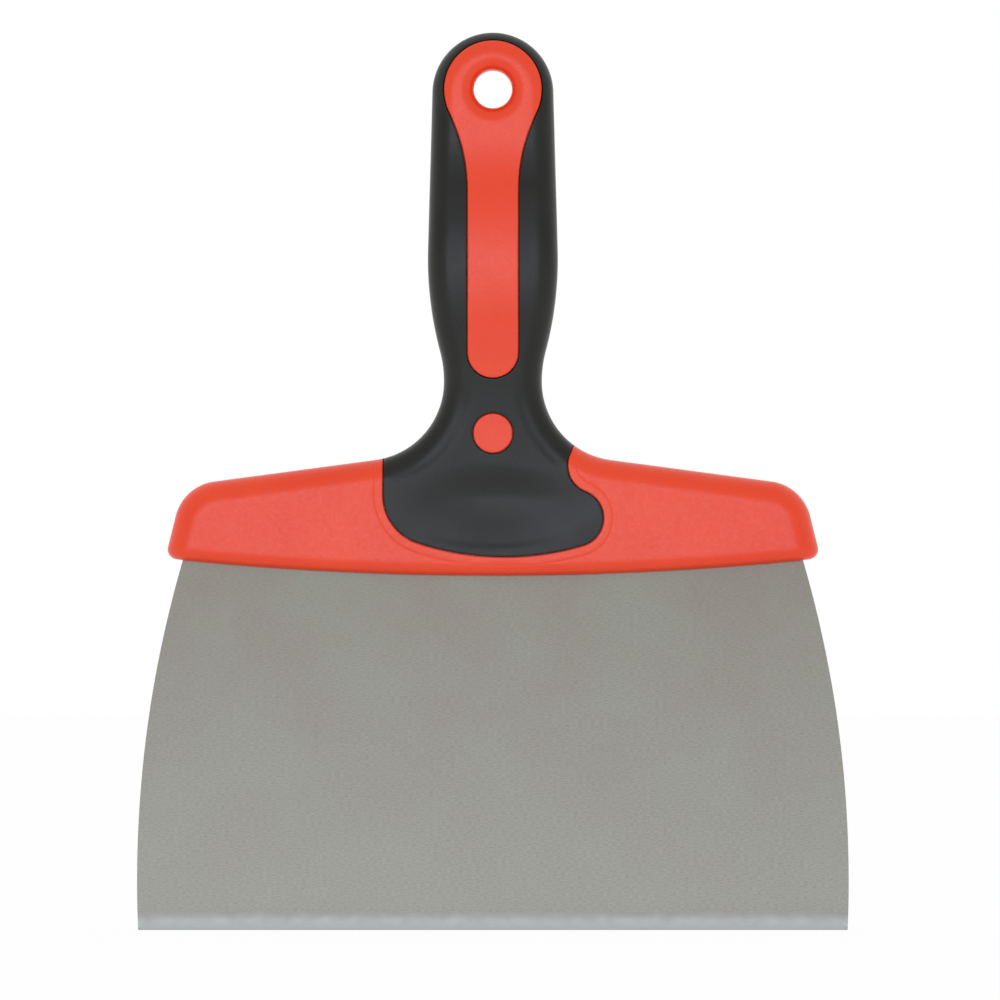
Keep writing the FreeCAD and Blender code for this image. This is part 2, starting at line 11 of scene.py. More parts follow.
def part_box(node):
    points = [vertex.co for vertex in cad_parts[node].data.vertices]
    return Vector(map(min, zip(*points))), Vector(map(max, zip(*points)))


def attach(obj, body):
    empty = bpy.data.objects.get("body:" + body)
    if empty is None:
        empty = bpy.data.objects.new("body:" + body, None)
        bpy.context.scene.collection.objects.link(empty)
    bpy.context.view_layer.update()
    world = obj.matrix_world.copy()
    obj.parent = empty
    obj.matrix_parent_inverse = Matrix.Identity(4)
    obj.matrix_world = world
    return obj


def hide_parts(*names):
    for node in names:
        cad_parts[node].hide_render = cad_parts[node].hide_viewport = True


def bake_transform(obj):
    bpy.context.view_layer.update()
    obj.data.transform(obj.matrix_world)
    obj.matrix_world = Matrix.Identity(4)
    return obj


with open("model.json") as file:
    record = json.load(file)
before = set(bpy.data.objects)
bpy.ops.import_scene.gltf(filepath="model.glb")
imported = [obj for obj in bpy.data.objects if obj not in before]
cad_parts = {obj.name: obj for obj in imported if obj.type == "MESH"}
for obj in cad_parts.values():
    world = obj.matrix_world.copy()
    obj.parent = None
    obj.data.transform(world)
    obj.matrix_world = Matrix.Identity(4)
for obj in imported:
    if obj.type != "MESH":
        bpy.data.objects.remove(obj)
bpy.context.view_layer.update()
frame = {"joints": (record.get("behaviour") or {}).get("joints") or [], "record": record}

# A flexible putty knife. Sizes in the dictionaries are millimetres, and meshes are made in metres.
# Flat work is done front on: across is X and up is Z, and the front faces -Y.
mm = 0.001
quarter = math.pi / 2
whole = math.pi * 2
tiny = 1e-9
touching = 0.01  # points this near a line are taken to lie on it
hangHole = frame["record"]["mounts"][0]
lipUp = frame["joints"][0]["pos_m"][2] / mm  # the blade bends from the guard's lip
holeUp = hangHole["pos_m"][2] / mm
holeRadius = hangHole["dims"]["r_mm"]


# Small helpers for nodes, colours and meshes.


# An sRGB hex colour as linear light.
def fromHex(code):
    channels = [int(code[k : k + 2], 16) / 255 for k in (1, 3, 5)]
    return [c / 12.92 if c < 0.04045 else ((c + 0.055) / 1.055) ** 2.4 for c in channels] + [1]


def addNode(tree, kind, settings, inputs):
    node = tree.nodes.new(kind)
    for name, setting in settings.items():
        setattr(node, name, setting)
    for name, source in inputs.items():
        if isinstance(source, bpy.types.NodeSocket):
            tree.links.new(source, node.inputs[name])
        else:
            node.inputs[name].default_value = source
    return node


def newMaterial(name):
    material = bpy.data.materials.new(name)
    material.use_nodes = True
    material.node_tree.nodes.clear()
    return material, material.node_tree


# A mesh object from points in millimetres; points that no face uses are left out.
def newPiece(name, points, faces, materials):
    used = sorted({v for face in faces for v in face})
    place = {v: k for k, v in enumerate(used)}
    faces = [[place[v] for v in face] for face in faces]
    mesh = bpy.data.meshes.new(name)
    mesh.from_pydata((np.asarray(points)[used] * mm).tolist(), [], faces)
    for material in materials:
        mesh.materials.append(material)
    piece = bpy.data.objects.new(name, mesh)
    bpy.context.scene.collection.objects.link(piece)
    smooth(mesh)
    return piece


# Smooth shading, but for edges sharper than an angle in degrees.
def smooth(mesh, sharpFrom=40):
    mesh.shade_smooth()
    mesh.set_sharp_from_angle(angle=math.radians(sharpFrom))


# Small helpers for flat outlines.


def polar(centre, radius, angle):
    return np.array([centre[0] + radius * math.cos(angle), centre[1] + radius * math.sin(angle)])


def arc(centre, radius, start, end, step=0.5):
    count = max(2, math.ceil(abs(end - start) * radius / step))
    return [polar(centre, radius, start + (end - start) * k / count) for k in range(count + 1)]


# The same line with its points a step apart.
def evenly(points, step, closed=False):
    points = np.array(points)
    if closed:
        points = np.vstack([points, points[:1]])
    lengths = np.hypot(*np.diff(points, axis=0).T)
    along = np.concatenate([[0], np.cumsum(lengths)])
    count = max(3, round(along[-1] / step))
    places = np.linspace(0, along[-1], count + 1)
    if closed:
        places = places[:-1]
    return np.stack([np.interp(places, along, points[:, k]) for k in (0, 1)], axis=1)


# The line moved to its right by a distance.
def beside(points, distance, closed=False):
    if closed:
        ahead = np.roll(points, -1, axis=0) - np.roll(points, 1, axis=0)
    else:
        ahead = np.gradient(points, axis=0)
    ahead /= np.hypot(*ahead.T)[:, None]
    return points + distance * np.stack([ahead[:, 1], -ahead[:, 0]], axis=1)


# Which points lie inside a closed polygon.
def inside(points, polygon):
    found = np.zeros(len(points), bool)
    for a, b in zip(polygon, np.roll(polygon, -1, axis=0)):
        if a[1] == b[1]:
            continue
        spans = (a[1] > points[:, 1]) != (b[1] > points[:, 1])
        meet = a[0] + (points[:, 1] - a[1]) * (b[0] - a[0]) / (b[1] - a[1])
        found ^= spans & (points[:, 0] < meet)
    return found


# How far each point lies from the nearest point of a line.
def gaps(points, line):
    tree = KDTree(len(line))
    for k, (x, z) in enumerate(line):
        tree.insert((x, z, 0), k)
    tree.balance()
    return np.array([tree.find((x, z, 0))[2] for x, z in points])


# The points that lie further than a distance from every point of the lines.
def farFrom(points, lines, distance):
    return points[gaps(points, np.vstack(lines)) > distance]


# A share from 0 to 1 that starts and ends gently.
def eased(share):
    share = np.clip(share, 0, 1)
    return share * share * (3 - 2 * share)


# Staggered points over a rectangle.
def honeycomb(low, high, spacing):
    rows = np.arange(low[1], high[1], spacing * math.sqrt(3) / 2)
    across = np.arange(low[0], high[0], spacing)
    return np.array([(x + spacing / 2 * (k % 2), z) for k, z in enumerate(rows) for x in across])


# Fills the plane with triangles that keep to closed loops and open lines.
def triangles(loops, lines, loose):
    points, edges = [], []
    for line, closed in [(p, True) for p in loops] + [(p, False) for p in lines]:
        first = len(points)
        points += [Vector(p) for p in line]
        edges += [(k, k + 1) for k in range(first, len(points) - 1)]
        if closed:
            edges.append((len(points) - 1, first))
    points += [Vector(p) for p in loose]
    merging = 1e-5  # points nearer than this become one
    found = delaunay_2d_cdt(points, edges, [], 0, merging)
    flat = np.array([tuple(p) for p in found[0]])
    faces = np.array(found[2])
    a, b, c = (flat[faces[:, k]] for k in range(3))
    turned = (b - a)[:, 0] * (c - a)[:, 1] - (b - a)[:, 1] * (c - a)[:, 0] < 0
    faces[turned] = faces[turned][:, ::-1]
    return flat, faces


# Edges that only one face has, in that face's direction.
def freeEdges(faces):
    edges = {(f[k], f[(k + 1) % 3]) for f in faces.tolist() for k in range(3)}
    return [(a, b) for a, b in edges if (b, a) not in edges]


# Blade: one sheet of hardened stainless steel with a honed edge, keyed into the guard by holes.

bladeSizes = {
    "thickness": 0.5,
    "sideRadius": 322,  # bowed sides
    "widestUp": 14,
    "honeUp": 5,  # height of the ground band
    "honeDepth": 0.08,
    "burrUp": 0.3,  # the bright line where the two ground faces meet
    "burrDepth": 0.06,
    "edgeBreak": 0.06,  # the sheared rim is deburred
    "tangDepth": 15,
    "keyRise": 8,
    "keyRadius": 2.5,
    "keyInset": 16,
    "keyCount": 5,
    "fitGap": 0.05,
    "spacing": 3.5,  # of the mesh that bends
    "rimStep": 1.2,  # between points along the outline
    "fineStep": 0.1,  # and along the outline as it is measured from
    "holeStep": 0.5,
    "sidePoints": 80,  # along each side, before it is spaced evenly
    "levelPoints": 160,  # across the ground band's top and the burr line
    "levelInset": 0.3,  # those two stop this short of the rim
    "bendStart": 6,  # above the lip, inside the guard
    "bendEnd": 15,  # below the cutting edge
}
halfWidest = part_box("blade")[1].x / mm


def bladeHalfWidth(up, gap=0):
    centre = halfWidest - bladeSizes["sideRadius"]
    bend = bladeSizes["sideRadius"] + gap
    return centre + math.sqrt(bend**2 - (up - bladeSizes["widestUp"]) ** 2)


# The sheet's outline, anticlockwise, with every edge moved out by a gap.
def sheetOutline(gap):
    low = -gap
    top = lipUp + bladeSizes["tangDepth"] + gap
    step = bladeSizes["rimStep"]
    rises = np.linspace(low, top, bladeSizes["sidePoints"])
    right = evenly([(bladeHalfWidth(z, gap), z) for z in rises], step)
    left = right[::-1] * [-1, 1]
    edges = [right, evenly([right[-1], left[0]], step), left, evenly([left[-1], right[0]], step)]
    return np.vstack([edge[:-1] for edge in edges])


def keyHoles(gap):
    reach = bladeHalfWidth(lipUp) - bladeSizes["keyInset"]
    across = np.linspace(-reach, reach, bladeSizes["keyCount"])
    radius = bladeSizes["keyRadius"] - gap
    up = lipUp + bladeSizes["keyRise"]
    circles = [arc((x, up), radius, 0, whole)[:-1] for x in across]
    return [evenly(circle, bladeSizes["holeStep"], closed=True) for circle in circles]


# Half the sheet's thickness: it thins over the ground band and again at the very edge.
def bladeHalfDepth(flat):
    up = flat[:, 1]
    ground = bladeSizes["honeDepth"] * np.clip(1 - up / bladeSizes["honeUp"], 0, 1)
    burr = bladeSizes["burrDepth"] * np.clip(1 - up / bladeSizes["burrUp"], 0, 1)
    return bladeSizes["thickness"] / 2 - ground - burr


# A closed sheet with its key holes. Rims gives extra loops just inside the outline.
def sheetSolid(name, gap, materials, halfDepth, rims, lines, spacing):
    outline = sheetOutline(gap)
    holes = keyHoles(gap)
    fixed = [outline, *rims(outline), *holes]
    low, high = outline.min(axis=0), outline.max(axis=0)
    loose = farFrom(honeycomb(low, high, spacing), fixed + lines, spacing / 2)
    flat, faces = triangles(fixed, lines, loose)
    middle = flat[faces].mean(axis=1)
    kept = inside(middle, outline)
    for hole in holes:
        kept &= ~inside(middle, hole)
    faces = faces[kept]
    depth = halfDepth(flat)
    front = np.stack([flat[:, 0], -depth, flat[:, 1]], axis=1)
    back = front * [1, -1, 1]
    count = len(flat)
    walls = [[b, a, a + count, b + count] for a, b in freeEdges(faces)]
    everyFace = faces.tolist() + (faces[:, ::-1] + count).tolist() + walls
    return newPiece(name, np.vstack([front, back]), everyFace, materials)


# Cold-rolled martensitic stainless, belt-brushed along its width: a grey satin of short dull flecks,
# with warm and cool patches. Its colour is painted paler towards the cutting edge, a painted
# reflection.
def brushedStainless():
    look = {
        "warm": "#817A70",
        "cool": "#818074",
        "shade": "#DAD8D5",  # laid over the other colours in the flecks
        # the painted paler reflection, reached at the cutting edge
        "low": "#98978D",
        "roughness": 0.42,
        "anisotropy": 0.5,
        "fleckWidth": 0.3,  # belt lines are finer, drawn this wide so that they show
        "fleckLength": 1.2,
        "fleckDetail": 3,
        "fleckRoughness": 0.6,
        "fleckRange": (0.6, 0.35),  # the noise at which the dark flecks start and are full
        "patch": 28,  # uneven belt pressure
        "patchDetail": 3,
        "patchRange": (0.4, 0.6),
        "paintedPaleShare": 0.8,  # how far the colour has turned to the painted paler reflection at the edge
        "dullRange": (0.3, 0.7),
        "dullSpread": 0.06,
        "lineDepth": 0.004,
        "lineStrength": 0.5,
    }
    material, tree = newMaterial("brushedStainless")
    place = addNode(tree, "ShaderNodeUVMap", {"uv_map": "sheet"}, {}).outputs["UV"]
    stretch = (1 / look["fleckLength"], 1 / look["fleckWidth"], 1)
    along = addNode(tree, "ShaderNodeMapping", {}, {"Vector": place, "Scale": stretch})
    flecks = addNode(
        tree,
        "ShaderNodeTexNoise",
        {},
        {
            "Vector": along.outputs["Vector"],
            "Scale": 1,
            "Detail": look["fleckDetail"],
            "Roughness": look["fleckRoughness"],
        },
    )
    patches = addNode(
        tree,
        "ShaderNodeTexNoise",
        {},
        {"Vector": place, "Scale": 1 / look["patch"], "Detail": look["patchDetail"]},
    )
    hue = addNode(
        tree,
        "ShaderNodeMapRange",
        {},
        {
            "Value": patches.outputs["Fac"],
            "From Min": look["patchRange"][0],
            "From Max": look["patchRange"][1],
        },
    )
    tint = addNode(tree, "ShaderNodeMix", {"data_type": "RGBA"}, {"Factor": hue.outputs["Result"]})
    tint.inputs["A"].default_value = fromHex(look["warm"])
    tint.inputs["B"].default_value = fromHex(look["cool"])
    parts = addNode(tree, "ShaderNodeSeparateXYZ", {}, {"Vector": place})
    # Painted reflection: the colour turns paler from the lip down to the cutting edge, standing in for
    # brighter light reflected low on the sheet.
    height = addNode(
        tree,
        "ShaderNodeMapRange",
        {},
        {"Value": parts.outputs["Y"], "From Min": lipUp, "From Max": 0, "To Max": look["paintedPaleShare"]},
    )
    paler = addNode(
        tree,
        "ShaderNodeMix",
        {"data_type": "RGBA"},
        {"Factor": height.outputs["Result"], "A": tint.outputs["Result"]},
    )
    paler.inputs["B"].default_value = fromHex(look["low"])
    dark = addNode(
        tree,
        "ShaderNodeMapRange",
        {},
        {
            "Value": flecks.outputs["Fac"],
            "From Min": look["fleckRange"][0],
            "From Max": look["fleckRange"][1],
        },
    )
    colour = addNode(
        tree,
        "ShaderNodeMix",
        {"data_type": "RGBA", "blend_type": "MULTIPLY"},
        {"Factor": dark.outputs["Result"], "A": paler.outputs["Result"]},
    )
    colour.inputs["B"].default_value = fromHex(look["shade"])
    dull = addNode(
        tree,
        "ShaderNodeMapRange",
        {},
        {
            "Value": flecks.outputs["Fac"],
            "From Min": look["dullRange"][0],
            "From Max": look["dullRange"][1],
            "To Min": look["roughness"] - look["dullSpread"],
            "To Max": look["roughness"] + look["dullSpread"],
        },
    )
    relief = addNode(
        tree,
        "ShaderNodeBump",
        {},
        {
            "Height": flecks.outputs["Fac"],
            "Strength": look["lineStrength"],
            "Distance": look["lineDepth"] * mm,
        },
    )
    tangent = addNode(tree, "ShaderNodeTangent", {"direction_type": "UV_MAP", "uv_map": "sheet"}, {})
    shader = addNode(
        tree,
        "ShaderNodeBsdfPrincipled",
        {},
        {
            "Base Color": colour.outputs["Result"],
            "Metallic": 1,
            "Roughness": dull.outputs["Result"],
            "Anisotropic": look["anisotropy"],
            "Normal": relief.outputs["Normal"],
            "Tangent": tangent.outputs["Tangent"],
        },
    )
    addNode(tree, "ShaderNodeOutputMaterial", {}, {"Surface": shader.outputs["BSDF"]})
    return material


# The same steel surface-ground along its edge: a paler, bluish band that fades in unevenly.
def groundStainless():
    look = {
        "colour": "#A3A5A2",
        "above": "#83817A",
        "roughness": 0.36,
        "fade": 4.4,  # height over which the ground band fades in
        "wander": 1.8,  # how unevenly it does so
        "patch": 4,
        "patchDetail": 4,
        "dullSpread": 0.08,
    }
    material, tree = newMaterial("groundStainless")
    place = addNode(tree, "ShaderNodeUVMap", {"uv_map": "sheet"}, {}).outputs["UV"]
    parts = addNode(tree, "ShaderNodeSeparateXYZ", {}, {"Vector": place})
    patches = addNode(
        tree,
        "ShaderNodeTexNoise",
        {},
        {"Vector": place, "Scale": 1 / look["patch"], "Detail": look["patchDetail"]},
    )
    wander = addNode(
        tree,
        "ShaderNodeMath",
        {"operation": "MULTIPLY_ADD"},
        {0: patches.outputs["Fac"], 1: look["wander"], 2: parts.outputs["Y"]},
    )
    middle = bladeSizes["honeUp"] - look["fade"] / 2 + look["wander"] / 2
    share = addNode(
        tree,
        "ShaderNodeMapRange",
        {"interpolation_type": "SMOOTHSTEP"},
        {
            "Value": wander.outputs["Value"],
            "From Min": middle + look["fade"] / 2,
            "From Max": middle - look["fade"] / 2,
        },
    )
    colour = addNode(tree, "ShaderNodeMix", {"data_type": "RGBA"}, {"Factor": share.outputs["Result"]})
    colour.inputs["A"].default_value = fromHex(look["above"])
    colour.inputs["B"].default_value = fromHex(look["colour"])
    dull = addNode(
        tree,
        "ShaderNodeMapRange",
        {},
        {
            "Value": patches.outputs["Fac"],
            "To Min": look["roughness"] - look["dullSpread"],
            "To Max": look["roughness"] + look["dullSpread"],
        },
    )
    shader = addNode(
        tree,
        "ShaderNodeBsdfPrincipled",
        {},
        {
            "Base Color": colour.outputs["Result"],
            "Metallic": 1,
            "Roughness": dull.outputs["Result"],
        },
    )
    addNode(tree, "ShaderNodeOutputMaterial", {}, {"Surface": shader.outputs["BSDF"]})
    return material


def makeBlade():
    steel, ground = brushedStainless(), groundStainless()
    edgeBreak = bladeSizes["edgeBreak"]
    across = np.linspace(-halfWidest, halfWidest, bladeSizes["levelPoints"])
    inset = bladeSizes["levelInset"]
    levels = [
        np.array([(x, up) for x in across if abs(x) < bladeHalfWidth(up) - inset])
        for up in (bladeSizes["burrUp"], bladeSizes["honeUp"])
    ]

    def deburredHalfDepth(flat):
        rim = evenly(sheetOutline(0), bladeSizes["fineStep"], closed=True)
        onRim = gaps(flat, rim) < edgeBreak / 2
        return bladeHalfDepth(flat) - onRim * edgeBreak

    blade = sheetSolid(
        "blade_sheet",
        0,
        [steel, ground],
        deburredHalfDepth,
        lambda outline: [beside(outline, -edgeBreak, closed=True)],
        levels,
        bladeSizes["spacing"],
    )
    mesh = blade.data
    for face in mesh.polygons:
        if face.center.z < bladeSizes["honeUp"] * mm:
            face.material_index = 1
    sheetMap = mesh.uv_layers.new(name="sheet")
    for loop in mesh.loops:
        place = mesh.vertices[loop.vertex_index].co
        sheetMap.data[loop.index].uv = (place.x / mm, place.z / mm)
    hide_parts("blade")
    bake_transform(blade)


makeBlade()
print("blade ready")


# Handle: a hard core with a soft grip moulded over it. Both come from one flattened front, which
# is rolled over the long edges and the lip, so that their seams meet exactly.

handleSizes = {
    "wingReach": 5,  # past the blade's side at the lip
    "guardDepth": 13,
    "faceRise": 18.2,  # height of the guard's flat face above the lip
    "endLean": 14,  # degrees
    "shoulderRadius": 13,
    "topSlope": 7.6,  # degrees
    "edgeRound": 6.3,
    "lipBow": 880,
    "lipRound": 3.5,
    "neckWidth": 27.6,
    "neckRise": 54.7,
    "neckRadius": 22.3,
    "waistRadius": 33,
    "palmWidth": 36.6,
    "palmDepth": 25,
    "palmRise": 89.1,
    "swellRadius": 100,
    "endWidth": 34.1,
    "endDepth": 18,
    "endRise": 135.9,
    "mouthRound": 3.8,
    "eyeletRadius": 13.6,  # the palm's swell ends this far below the hang hole
    "gripWall": 2,
    "mouthSteps": 8,  # rings over the mouth's rounding
    "wallSteps": 5,  # and down the straight wall to the middle plane
    "endFade": 12,  # height above the lip up to which the ends are slid level
    "endPoints": 40,  # along the wing's end, before the rim is spaced evenly
    "rimPoints": 60,  # and along each other piece of it
    "spacing": 0.95,  # of the mesh
    "clearShare": 0.55,  # of the spacing, kept between its loose points and its lines
}
guardHalf = handleSizes["guardDepth"] / 2
palmHalf = handleSizes["palmDepth"] / 2
endHalf = handleSizes["endDepth"] / 2
edgeRound = handleSizes["edgeRound"]
lipRound = handleSizes["lipRound"]
lipCentre = np.array([0, lipUp + handleSizes["lipBow"]])
hangCentre = np.array([0, holeUp])
mouthReach = holeRadius + handleSizes["mouthRound"]


# Two tangent arcs of opposite bend that step a line sideways: the sum of their radii, and the
# angle at which they meet.
def tangentSplit(rise, reach):
    total = (rise**2 + reach**2) / (2 * rise)
    return total, math.asin(reach / total)


# Half the handle's front to back depth at each height: level at the guard, in one swell over the
# palm and level again at the eyelet, joined by hollow arcs.
def handleHalfDepth(up):
    faceUp = lipUp + handleSizes["faceRise"]
    palmUp = lipUp + handleSizes["palmRise"]
    flatUp = holeUp - handleSizes["eyeletRadius"]
    swell = handleSizes["swellRadius"]
    lowTotal, lowMeet = tangentSplit(palmHalf - guardHalf, palmUp - faceUp)
    highTotal, highMeet = tangentSplit(palmHalf - endHalf, flatUp - palmUp)
    lowBend, highBend = lowTotal - swell, highTotal - swell
    low = np.clip(up - faceUp, 0, lowBend)
    high = np.clip(flatUp - up, 0, highBend)
    onPalm = np.clip(up - palmUp, -swell, swell)
    palm = palmHalf - swell + np.sqrt(swell**2 - onPalm**2)
    rise = guardHalf + lowBend - np.sqrt(lowBend**2 - low**2)
    fall = endHalf + highBend - np.sqrt(highBend**2 - high**2)
    depth = np.where(up < palmUp - swell * math.sin(lowMeet), rise, palm)
    return np.where(up > palmUp + swell * math.sin(highMeet), fall, depth)


# The right half of the handle's outline from the wing's end up to the top, moved in.
def frontPieces(inset):
    lean, slope = (math.radians(handleSizes[k]) for k in ("endLean", "topSlope"))
    toEnd, toTop = lean, quarter - slope
    endNormal, topNormal = polar((0, 0), 1, toEnd), polar((0, 0), 1, toTop)
    wingHalf = bladeHalfWidth(lipUp) + handleSizes["wingReach"]
    neckUp, palmUp, endUp = (lipUp + handleSizes[k] for k in ("neckRise", "palmRise", "endRise"))
    neckBend, waistBend = handleSizes["neckRadius"], handleSizes["waistRadius"]
    shoulderBend = handleSizes["shoulderRadius"]
    neck = np.array([handleSizes["neckWidth"] / 2 + neckBend, neckUp])
    waist = np.array([handleSizes["neckWidth"] / 2 + waistBend, neckUp])
    reach = np.array([wingHalf, lipUp]) @ endNormal - shoulderBend
    height = neck @ topNormal - neckBend - shoulderBend
    shoulder = np.linalg.solve([endNormal, topNormal], [reach, height])
    rise = (handleSizes["palmWidth"] - handleSizes["neckWidth"]) / 2
    total, meet = tangentSplit(rise, palmUp - neckUp)
    palmBend = total - waistBend
    palm = np.array([handleSizes["palmWidth"] / 2 - palmBend, palmUp])
    top, topBend = np.array([0, endUp]), handleSizes["endWidth"] / 2
    away = top - palm
    taper = math.atan2(away[1], away[0]) - math.acos((palmBend - topBend) / np.hypot(*away))

    def bend(centre, radius, start, end, outward):
        return {
            "centre": centre,
            "radius": radius - outward * inset,
            "from": start,
            "to": end,
            "outward": outward,
        }

    def straight(start, end, angle):
        normal = polar((0, 0), 1, angle)
        return {"start": start - normal * inset, "end": end - normal * inset, "normal": normal}

    shoulderFoot = shoulder + endNormal * shoulderBend
    far = 60  # the end's line goes on below the lip
    return [
        straight(shoulderFoot - far * polar((0, 0), 1, toEnd + quarter), shoulderFoot, toEnd),
        bend(shoulder, shoulderBend, toEnd, toTop, 1),
        straight(shoulder + topNormal * shoulderBend, neck - topNormal * neckBend, toTop),
        bend(neck, neckBend, toTop + math.pi, math.pi, -1),
        bend(waist, waistBend, math.pi, math.pi - meet, -1),
        bend(palm, palmBend, -meet, taper, 1),
        straight(polar(palm, palmBend, taper), polar(top, topBend, taper), taper),
        bend(top, topBend, taper, quarter, 1),
    ]


roundingLine = frontPieces(edgeRound)  # where the long edges start to round over


# How far each point of the right half lies outside the rounding line, with the nearest point of
# that line and the direction away from it.
def outwardFrom(points):
    count = len(points)
    best = np.full(count, np.inf)
    foot, normal = np.zeros((count, 2)), np.zeros((count, 2))
    for piece in roundingLine:
        if "normal" in piece:
            run = piece["end"] - piece["start"]
            length = np.hypot(*run)
            along = (points - piece["start"]) @ run / length
            here = (along >= -tiny) & (along <= length + tiny)
            away = (points - piece["start"]) @ piece["normal"]
            nearest = piece["start"] + along[:, None] * run / length
            outward = np.tile(piece["normal"], (count, 1))
        else:
            arm = points - piece["centre"]
            distance = np.maximum(np.hypot(*arm.T), tiny)
            low, high = sorted((piece["from"], piece["to"]))
            turn = (np.arctan2(arm[:, 1], arm[:, 0]) - low + tiny) % whole
            here = turn <= high - low + 2 * tiny
            away = piece["outward"] * (distance - piece["radius"])
            nearest = piece["centre"] + arm / distance[:, None] * piece["radius"]
            outward = piece["outward"] * arm / distance[:, None]
        take = here & (abs(away) < abs(best))
        best[take] = away[take]
        foot[take] = nearest[take]
        normal[take] = outward[take]
    return best, foot, normal


# The end leans, so what rolls over it is slid back along it to its own height above the lip.
def levelledEnd(rolled, foot, height, away):
    end = roundingLine[0]
    alongEnd = polar((0, 0), 1, math.radians(handleSizes["endLean"]) + quarter)
    arm = rolled - lipCentre
    distance = np.hypot(*arm.T)
    above = handleSizes["lipBow"] - distance
    steep = -(arm @ alongEnd) / distance
    nearLip = np.clip((handleSizes["endFade"] - height) / handleSizes["endFade"], 0, 1)
    onEnd = (away > 0) & (abs((foot - end["end"]) @ end["normal"]) < touching)
    slide = np.where(onEnd, (height - above) / steep * nearLip, 0)
    return rolled + slide[:, None] * alongEnd


# Places points of the flattened front on the handle's surface.
def rolledOver(flat):
    side = np.where(flat[:, 0] < 0, -1, 1)
    plan = np.stack([abs(flat[:, 0]), flat[:, 1]], axis=1)

    # Over the lip: how far each point comes in from the front, and its height above the lip.
    arm = plan - lipCentre
    distance = np.hypot(*arm.T)
    above = handleSizes["lipBow"] - distance
    roll = np.clip((lipRound - above) / lipRound, 0, quarter)
    under = np.maximum(0, lipRound * (1 - quarter) - above)
    shrink = lipRound * (1 - np.cos(roll)) + under
    height = np.where(above < lipRound, lipRound * (1 - np.sin(roll)), above)
    plan = lipCentre + arm / distance[:, None] * (handleSizes["lipBow"] - height)[:, None]

    # Over the long edges: a quarter turn, then straight back to the middle plane.
    away, foot, normal = outwardFrom(plan)
    turn = np.clip(away / edgeRound, 0, quarter)
    down = np.clip(away - edgeRound * quarter, 0, None)
    radius = np.clip(edgeRound - shrink, 0, None)
    rolled = foot + normal * (radius * np.sin(turn))[:, None]
    rolled = levelledEnd(rolled, foot, height, away)
    depth = handleHalfDepth((foot + normal * (edgeRound * np.sin(turn))[:, None])[:, 1])
    straight = np.maximum(np.minimum(depth - edgeRound, depth - shrink), 0)
    wall = np.clip(1 - down / (depth - edgeRound), 0, 1)
    onFace = away <= 0
    across = np.where(onFace, plan[:, 0], rolled[:, 0]) * side
    up = np.where(onFace, plan[:, 1], rolled[:, 1])
    front = np.where(
        onFace,
        np.maximum(handleHalfDepth(plan[:, 1]) - shrink, 0),
        straight * wall + radius * np.cos(turn),
    )
    return np.stack([across, -front, up], axis=1)


# Where points of the front view lie on the flattened front; those outside are left out.
def flattened(plan):
    side = np.where(plan[:, 0] < 0, -1, 1)
    right = np.stack([abs(plan[:, 0]), plan[:, 1]], axis=1)
    away, foot, normal = outwardFrom(right)
    unrolled = edgeRound * np.arcsin(np.clip(away / edgeRound, 0, 1))
    right = np.where((away > 0)[:, None], foot + normal * unrolled[:, None], right)
    right[:, 0] *= side
    return right[away <= edgeRound]


# Unrolled distance from the rounding line to the handle's middle plane.
def middleReach(up):
    return edgeRound * quarter + handleHalfDepth(np.array([up]))[0] - edgeRound


# The flattened front's outline, which is the handle's middle plane all the way round.
def flatRim():
    end = roundingLine[0]
    lean = math.radians(handleSizes["endLean"])
    reach = middleReach(lipUp)
    lowest = lipRound * (1 - quarter) - (guardHalf - lipRound)
    corner = end["end"] + end["normal"] * reach
    highest = handleSizes["lipBow"] - np.hypot(*(corner - lipCentre))
    offset = end["end"] @ end["normal"] + reach - lipCentre @ end["normal"]
    side = []
    for above in np.linspace(lowest, highest, handleSizes["endPoints"]):
        roll = min(max((lipRound - above) / lipRound, 0), quarter)
        height = lipRound * (1 - math.sin(roll)) if above < lipRound else above
        swing = lean + math.asin(offset / (handleSizes["lipBow"] - height))
        side.append(polar(lipCentre, handleSizes["lipBow"] - above, swing - quarter))
    swing = math.atan2(side[0][0], lipCentre[1] - side[0][1])
    bottom = arc(lipCentre, handleSizes["lipBow"] - lowest, -quarter, swing - quarter)
    right = bottom[:-1] + side
    for piece in roundingLine[1:]:
        for share in np.linspace(0, 1, handleSizes["rimPoints"])[1:]:
            if "normal" in piece:
                foot = piece["start"] + share * (piece["end"] - piece["start"])
                normal = piece["normal"]
            else:
                angle = piece["from"] + share * (piece["to"] - piece["from"])
                foot = polar(piece["centre"], piece["radius"], angle)
                normal = piece["outward"] * polar((0, 0), 1, angle)
            right.append(foot + normal * middleReach((foot + normal * edgeRound)[1]))
    left = [point * [-1, 1] for point in reversed(right[1:-1])]
    return evenly(right + left, handleSizes["spacing"], closed=True)


# Seams: the red strip with its eyelet, the round mark and the thumb rest's edge.

